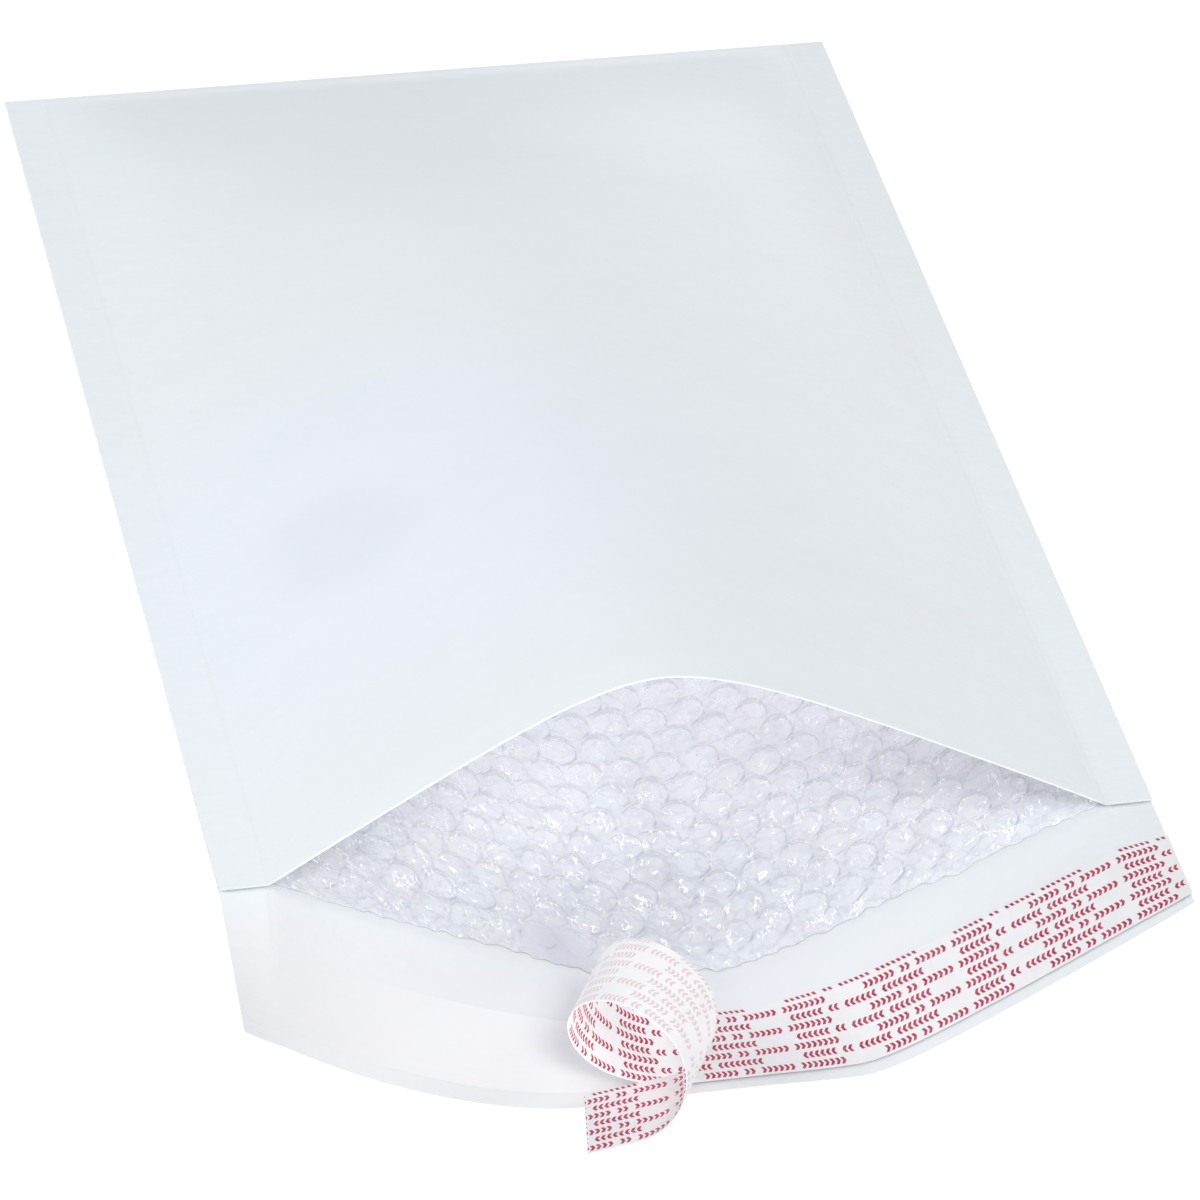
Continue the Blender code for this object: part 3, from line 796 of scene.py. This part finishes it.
def strip_material(name, sizes, colours, ink, glow):
    """Make one side of the cover strip.

    ink is how strongly the marks show on it, and glow the strength of a painted glow where it
    curls, which stands in for light coming through the strip.
    """
    material, tree, shader = new_material(name, 0.38, specular=0.45)
    where, run, side = flat_place(tree)
    grain = add_group(tree, paper_grain(), Place=where, Fibre_Scale=1200.0, Cloud_Scale=140.0)
    crease = add_group(tree, crinkle(), Place=where, Scale=120.0)
    marks = printed_marks(tree, sizes, run, side)
    patchy = spread(tree, noise(tree, where, 0.5 * MM, 2.0), 0.25, 0.6, 0.82, 1.0)
    inked = maths(tree, "MULTIPLY", maths(tree, "MULTIPLY", marks, patchy), ink)
    bare = mixed_colour(tree, spread(tree, grain.outputs["Shade"], 0.35, 0.65), colours.strip,
                        tuple(value * 0.97 for value in colours.strip))
    tree.links.new(mixed_colour(tree, inked, bare, colours.marks), shader.inputs["Base Color"])
    # Painted glow where the strip curls, standing in for light coming through it
    curl_glow = maths(tree, "MULTIPLY", spread(tree, run, -120 * MM, -95 * MM),
                   spread(tree, run, -10 * MM, 0.0, 1.0, 0.0))
    through = mixed_colour(tree, inked, (1, 0.97, 0.98), colours.marks)
    tree.links.new(mixed_colour(tree, curl_glow, (0, 0, 0), through), shader.inputs["Emission Color"])
    shader.inputs["Emission Strength"].default_value = glow
    height = maths(tree, "ADD", maths(tree, "MULTIPLY", grain.outputs["Height"], 0.3),
                   crease.outputs["Height"])
    bump(tree, shader, height, 0.12 * MM, 0.4)
    return material


# Operators, one for each piece and one for the stage


class BAG_OT_fold_paper(bpy.types.Operator):
    """Fold the paper: front panel, round the closed end, back panel and flap"""

    bl_idname = "mailing_bag.fold_paper"
    bl_label = "Fold the paper"

    def execute(self, context):
        sizes = context.scene.bag_sizes
        columns = [*evenly(-WIDTH / 2, -POCKET / 2, PAPER_CELL)[:-1],
                   *evenly(-POCKET / 2, POCKET / 2, PAPER_CELL),
                   *evenly(POCKET / 2, WIDTH / 2, PAPER_CELL)[1:]]
        body = [*evenly(0, LENGTH - HEM_WIDTH, 1.25 * PAPER_CELL)[:-1],
                *evenly(LENGTH - HEM_WIDTH, LENGTH, PAPER_CELL)]
        fold = [LENGTH + STACK * step / FOLD_STEPS for step in range(1, FOLD_STEPS)]
        back = [LENGTH + STACK + LENGTH - row for row in reversed(body)]
        flap = [2 * LENGTH + STACK + reach for reach in evenly(0, FLAP_LENGTH, PAPER_CELL)[1:]]
        sheet = flat_sheet(columns, body + fold + back + flap, 0)
        thicken(sheet, PAPER)

        def bend(points):
            across, run, depth = points.T
            front = run <= LENGTH
            turned = np.clip((run - LENGTH) / STACK, 0, 1) * math.pi
            along = np.where(front, run, np.minimum(LENGTH, 2 * LENGTH + STACK - run))
            raised = self.relief(across, along, sizes)
            flat = np.stack([across, along, depth - np.where(front, raised, 0)], 1)
            places = place(flat, front)
            folding = (turned > 0) & (turned < math.pi)
            radius = STACK / 2 - depth
            middle = closed_end(across)
            middle[:, 1] += radius * np.sin(turned)
            middle[:, 2] += STACK / 2 + radius * np.cos(turned)
            return np.where(folding[:, None], middle, places)

        finish_piece(sheet, "folded_paper", bend, [paper_material(context.scene.bag_colours)],
                     "paper_envelope")
        return {"FINISHED"}

    @staticmethod
    def relief(across, along, sizes):
        """Return how far the front panel stands out: soft waves and the bubbles' imprint."""
        reach = 2 * math.pi / sizes.bubble_pitch
        rows = 2 * along / math.sqrt(3)
        slanted = across - along / math.sqrt(3), across + along / math.sqrt(3)
        imprint = (np.cos(reach * rows) + np.cos(reach * slanted[0])
                   + np.cos(reach * slanted[1])) / 3
        uneven = 0.6 + 0.4 * waves(across, along, 70 * MM, 3)
        soft = waves(across, along, 85 * MM, 5) * 0.7 + waves(across, along, 32 * MM, 8) * 0.25
        full = swell(across, along) * np.clip(along / (12 * MM), 0, 1)
        return full * (sizes.imprint * (imprint * uneven + 0.6)
                       + sizes.paper_swell * np.clip(soft + 0.9, 0, None) / 2)


class BAG_OT_blow_bubbles(bpy.types.Operator):
    """Make the lining: two webs of bubble film, welded together in the seams and the hem"""

    bl_idname = "mailing_bag.blow_bubbles"
    bl_label = "Blow the bubbles"

    def execute(self, context):
        sizes = context.scene.bag_sizes
        lining = self.half(sizes, False, random.Random(11))
        front = self.half(sizes, True, random.Random(12))
        front_data = bpy.data.meshes.new("front_web")
        front.to_mesh(front_data)
        front.free()
        lining.from_mesh(front_data)
        bpy.data.meshes.remove(front_data)
        side = lining.verts.layers.int["front_side"]
        at_front = np.array([vertex[side] for vertex in lining.verts], bool)

        def open_up(points):
            across, along, depth = points.T
            near_mouth = np.clip(1 - (along - LINING_SETBACK) / (9 * MM), 0, 1)
            uneven = (waves(across, along * 0, 21 * MM, 21) * 0.6
                      + waves(across, along * 0, 6.5 * MM, 22) * 0.7)
            uneven = np.where(at_front, 1.2 + 0.3 * uneven, uneven)
            along = along + sizes.ragged * uneven * near_mouth
            return place(np.stack([across, along, depth], 1), at_front)

        colours = context.scene.bag_colours
        finish_piece(lining, "bubble_film", open_up,
                     [film_material(colours), backing_material(colours)],
                     "bubble_lining", sharp=50)
        return {"FINISHED"}

    def half(self, sizes, front, chance):
        """Make one web in the flat: an outer skin and, on its pocket side, the bubbles."""
        step = sizes.bubble_pitch / 2
        row_pitch = step * math.sqrt(3)
        count = int((POCKET / 2 - BUBBLE_MARGIN) / step)
        places = [-WIDTH / 2, -POCKET / 2, *(step * number for number in range(-count, count + 1)),
                  POCKET / 2, WIDTH / 2]
        hem = LENGTH - HEM_WIDTH
        first_row = LINING_SETBACK + row_pitch / 2
        rows = int((hem - first_row) / row_pitch) - 1
        honeycomb = [first_row + row_pitch * row for row in range(rows + 1)]
        body = [LINING_SETBACK, *honeycomb[::2], hem, LENGTH]
        skin = flat_sheet(places, body, PAPER + GAP)
        for face in skin.faces:
            face.material_index = 1
        pocket = flat_sheet(places[1:-1], [LINING_SETBACK, *honeycomb, hem], SKIN)
        self.raise_bubbles(pocket, first_row, rows, sizes, chance)
        for sheet in (skin, pocket):
            mouth = [edge for edge in sheet.edges
                     if all(abs(vertex.co.y - LINING_SETBACK) < GAP / 2 for vertex in edge.verts)]
            bmesh.ops.bisect_edges(sheet, edges=mouth, cuts=EDGE_CUTS)
        pocket_data = bpy.data.meshes.new("pocket_web")
        pocket.to_mesh(pocket_data)
        pocket.free()
        skin.from_mesh(pocket_data)
        bpy.data.meshes.remove(pocket_data)
        self.close(skin)
        side = skin.verts.layers.int.new("front_side")
        for vertex in skin.verts:
            vertex[side] = front
        return skin

    @staticmethod
    def raise_bubbles(sheet, first_row, bubble_rows, sizes, chance):
        """Join the sheet's cells in pairs to a honeycomb and blow each cell up to a bubble."""
        step = sizes.bubble_pitch / 2
        row_pitch = step * math.sqrt(3)
        count = int((POCKET / 2 - BUBBLE_MARGIN) / step)
        zigzag = sizes.bubble_pitch / (4 * math.sqrt(3))
        last_row = first_row + bubble_rows * row_pitch
        spare = []
        for edge in sheet.edges:
            first, second = (vertex.co for vertex in edge.verts)
            middle = (first + second) / 2
            row = math.floor((middle.y - first_row) / row_pitch)
            column = round(middle.x / step)
            upright = abs(first.x - second.x) < step / 4
            if (upright and first_row < middle.y < last_row and abs(column) < count
                    and (row + column) % 2):
                spare.append(edge)
        bmesh.ops.dissolve_edges(sheet, edges=spare, use_verts=False)
        cells = [face for face in sheet.faces if len(face.verts) == 6]
        for vertex in {vertex for cell in cells for vertex in cell.verts}:
            row = round((vertex.co.y - first_row) / row_pitch)
            column = round(vertex.co.x / step)
            if abs(column) < count:
                vertex.co.y += zigzag if (row + column) % 2 == 0 else -zigzag

        cells.sort(key=lambda cell: (round(cell.calc_center_median().y / row_pitch * 4),
                                     cell.calc_center_median().x))
        seen = first_row + ROUND_ROWS * row_pitch
        round_cells = [cell for cell in cells if cell.calc_center_median().y < seen]
        plain_cells = [cell for cell in cells if cell.calc_center_median().y >= seen]
        rims = list({edge for cell in round_cells for edge in cell.edges})
        bmesh.ops.bisect_edges(sheet, edges=rims, cuts=1)
        foot = sheet.verts.layers.float.new("foot")
        for group, rings in ((round_cells, BUBBLE_RINGS), (plain_cells, PLAIN_RINGS)):
            bubbles = [bubble_form(cell, sizes, chance) for cell in group]
            for radius_share, height_share in rings:
                bmesh.ops.inset_individual(sheet, faces=group, thickness=0.1 * MM)
                at_foot = (radius_share, height_share) == rings[0]
                for cell, (centre, radius, height, lean) in zip(group, bubbles):
                    for vertex in cell.verts:
                        away = (vertex.co - centre).xy.normalized()
                        # The foot weight places the painted shade round a bubble's foot, strongest
                        # on one side
                        vertex[foot] = at_foot * max(0, 0.2 + 0.8 * away.dot(SHADED_SIDE))
                        outwards = away * radius * radius_share
                        tilt = 1 + lean.dot(outwards) / radius
                        vertex.co = (centre.x + outwards.x + lean.x * height_share * MM,
                                     centre.y + outwards.y + lean.y * height_share * MM,
                                     SKIN + height * height_share * tilt)
            tops = bmesh.ops.poke(sheet, faces=group)
            bmesh.ops.translate(sheet, verts=tops["verts"], vec=(0, 0, 0.12 * MM))
            for vertex in tops["verts"]:
                vertex[foot] = 0

    @staticmethod
    def close(half):
        """Join the outer skin to the pocket side at the mouth, and bring its rim to the weld."""
        mouth = [edge for edge in half.edges
                 if all(abs(vertex.co.y - LINING_SETBACK) < GAP / 2 for vertex in edge.verts)
                 and all(abs(vertex.co.x) < POCKET / 2 + GAP / 2 for vertex in edge.verts)]
        bmesh.ops.bridge_loops(half, edges=mouth)
        outline = [edge for edge in half.edges if edge.is_boundary
                   and all(abs(vertex.co.z - PAPER - GAP) < GAP / 4 for vertex in edge.verts)]
        walls = bmesh.ops.extrude_edge_only(half, edges=outline)
        lowered = [item for item in walls["geom"] if isinstance(item, bmesh.types.BMVert)]
        bmesh.ops.translate(half, verts=lowered, vec=(0, 0, FILM))
        bmesh.ops.remove_doubles(half, verts=half.verts[:], dist=0.01 * MM)


def bubble_form(cell, sizes, chance):
    """Return the centre, radius, height and lean of the bubble on one cell of the honeycomb."""
    centre = cell.calc_center_median()
    height = BUBBLE_HEIGHT * chance.uniform(0.92, 1.06)
    lean = Vector((chance.gauss(0, 0.07), chance.gauss(0, 0.07)))
    if chance.random() < WILTED:
        height *= chance.uniform(0.45, 0.75)
        lean *= 2.5
    for across, along, reach in PRESSED_FLAT:
        away = math.hypot(centre.x - across, centre.y - along) / reach
        height *= 1 - 0.8 * math.exp(-away ** 2)
    crumpled = min(1, max(0, (-centre.x - CRUMPLED_FROM) / CRUMPLING))
    height *= 1 - 0.5 * crumpled * chance.random()
    lean *= 1 + 2 * crumpled
    radius = sizes.bubble_radius * chance.uniform(0.97, 1.01)
    return centre, radius, height, lean


class BAG_OT_spread_glue(bpy.types.Operator):
    """Lay the band of glue along the inside of the flap"""

    bl_idname = "mailing_bag.spread_glue"
    bl_label = "Spread the glue"

    def execute(self, context):
        band = flat_sheet(evenly(-WIDTH / 2, WIDTH / 2, PAPER_CELL),
                          evenly(-GLUE_TOP, -GLUE_TOP - GLUE_WIDTH, PAPER_CELL),
                          PAPER + THIN_GLUE / 2)
        thicken(band, THIN_GLUE)
        finish_piece(band, "glue_band", lambda points: place(points, np.zeros(len(points), bool)),
                     [glue_material(context.scene.bag_colours)], "adhesive_strip")
        return {"FINISHED"}


class BAG_OT_peel_strip(bpy.types.Operator):
    """Lay the printed cover strip on the glue and curl up its loose end"""

    bl_idname = "mailing_bag.peel_strip"
    bl_label = "Peel the strip"

    def execute(self, context):
        sizes, colours = context.scene.bag_sizes, context.scene.bag_colours
        depth = PAPER + GLUE + 2 * GAP
        strip = flat_sheet([*evenly(-FREE_LENGTH, 0, STRIP_CELL)[:-1],
                            *evenly(0, WIDTH / 2 - PEELED_TO, STRIP_CELL)],
                           evenly(-STRIP_TOP - STRIP_WIDTH, -STRIP_TOP, 2 * STRIP_CELL), depth)
        thicken(strip, STRIP)
        for face in strip.faces:
            face.material_index = 0 if face.calc_center_median().z > depth + STRIP / 4 else 1

        def bend(points):
            run, along, level = points.T
            stuck_places = place(points + np.array([PEELED_TO, 0, 0]),
                                 np.zeros(len(points), bool))
            side = -STRIP_TOP - STRIP_WIDTH / 2 - along
            loose_run = -run * (1 + ASKEW * side / STRIP_WIDTH)
            loose_places = curl(loose_run, side, level - depth)
            return np.where(run[:, None] < 0, loose_places, stuck_places)

        finish_piece(strip, "cover_strip", bend,
                     [strip_material("strip_print", sizes, colours, 1.0, 0.28),
                      strip_material("strip_reverse", sizes, colours, 0.3, 0.14)],
                     "release_liner")
        return {"FINISHED"}


class BAG_OT_set_stage(bpy.types.Operator):
    """Set the white floor, the lights and the camera"""

    bl_idname = "mailing_bag.set_stage"
    bl_label = "Set the stage"

    def execute(self, context):
        scene = context.scene
        self.floor(scene)
        world = bpy.data.worlds.new("studio")
        scene.world = world
        world.use_nodes = True
        sky = world.node_tree.nodes["Background"]
        sky.inputs["Color"].default_value = (0.93, 0.97, 1, 1)
        sky.inputs["Strength"].default_value = 0.5
        self.light(scene, "key", (0.2, -2.3, 3.3), 1.3, 57, (1, 1, 1))
        self.light(scene, "left_fill", (-2.4, -0.2, 2.4), 1.5, 25, (0.93, 0.97, 1))
        self.light(scene, "right_fill", (2.4, 0.2, 2.2), 1.5, 7, (1, 1, 1))
        self.light(scene, "glint", (-0.9, -2.6, 2.3), 0.45, 9, (1, 1, 1))
        scene.view_settings.view_transform = "Standard"
        scene.view_settings.look = "None"
        self.camera(scene)
        return {"FINISHED"}

    @staticmethod
    def floor(scene):
        """Make the floor: so bright that only a trace of the bag's shadow shows on it."""
        sheet = bmesh.new()
        bmesh.ops.create_grid(sheet, x_segments=1, y_segments=1, size=FLOOR_SIZE / 2)
        bmesh.ops.translate(sheet, verts=sheet.verts[:], vec=(0, 0, -0.4 * MM))
        data = bpy.data.meshes.new("floor")
        sheet.to_mesh(data)
        sheet.free()
        material, tree, shader = new_material("floor", 0.9, specular=0.0)
        shader.inputs["Base Color"].default_value = (0.12, 0.12, 0.12, 1)
        shader.inputs["Emission Color"].default_value = (1, 1, 1, 1)
        shader.inputs["Emission Strength"].default_value = 0.94
        data.materials.append(material)
        floor = bpy.data.objects.new("floor", data)
        scene.collection.objects.link(floor)

    @staticmethod
    def light(scene, name, where, size, power, colour):
        """Hang one soft square light that faces the bag."""
        data = bpy.data.lights.new(name, "AREA")
        data.shape = "SQUARE"
        data.size = size
        data.energy = power
        data.color = colour
        light = bpy.data.objects.new(name, data)
        light.location = where
        light.rotation_euler = (-light.location).to_track_quat("-Z", "Y").to_euler()
        scene.collection.objects.link(light)

    @staticmethod
    def camera(scene):
        """Place the camera where the picture of the bag was taken from."""
        azimuth, elevation, roll = CAMERA_AZIMUTH, CAMERA_ELEVATION, CAMERA_ROLL
        back = Vector((math.sin(azimuth) * math.cos(elevation),
                       -math.cos(azimuth) * math.cos(elevation), math.sin(elevation)))
        right = Vector((math.cos(azimuth), math.sin(azimuth), 0))
        up = back.cross(right)
        rolled_right = right * math.cos(roll) + up * math.sin(roll)
        rolled_up = up * math.cos(roll) - right * math.sin(roll)
        turned = Matrix((rolled_right, rolled_up, back)).transposed().to_4x4()
        data = bpy.data.cameras.new("camera")
        data.lens = CAMERA_LENS
        camera = bpy.data.objects.new("camera", data)
        camera.matrix_world = Matrix.Translation(LOOK_AT + back * CAMERA_DISTANCE) @ turned
        scene.collection.objects.link(camera)
        scene.camera = camera


OPERATORS = (BAG_OT_fold_paper, BAG_OT_blow_bubbles, BAG_OT_spread_glue, BAG_OT_peel_strip,
             BAG_OT_set_stage)


class BAG_PT_panel(bpy.types.Panel):
    """The mailing bag's sizes, colours and steps"""

    bl_idname = "BAG_PT_panel"
    bl_label = "Mailing bag"
    bl_space_type = "VIEW_3D"
    bl_region_type = "UI"
    bl_category = "Mailing bag"

    def draw(self, context):
        for group in (context.scene.bag_sizes, context.scene.bag_colours):
            box = self.layout.box()
            for name in group.__annotations__:
                box.prop(group, name)
        for operator in OPERATORS:
            self.layout.operator(operator.bl_idname)


CLASSES = (BagSizes, BagColours, *OPERATORS, BAG_PT_panel)


def register():
    for cls in CLASSES:
        bpy.utils.register_class(cls)
    bpy.types.Scene.bag_sizes = PointerProperty(type=BagSizes)
    bpy.types.Scene.bag_colours = PointerProperty(type=BagColours)


def unregister():
    del bpy.types.Scene.bag_colours
    del bpy.types.Scene.bag_sizes
    for cls in reversed(CLASSES):
        bpy.utils.unregister_class(cls)


def main():
    register()
    bpy.ops.mailing_bag.fold_paper()
    bpy.ops.mailing_bag.blow_bubbles()
    bpy.ops.mailing_bag.spread_glue()
    bpy.ops.mailing_bag.peel_strip()
    bpy.ops.mailing_bag.set_stage()


if __name__ == "__main__":
    main()
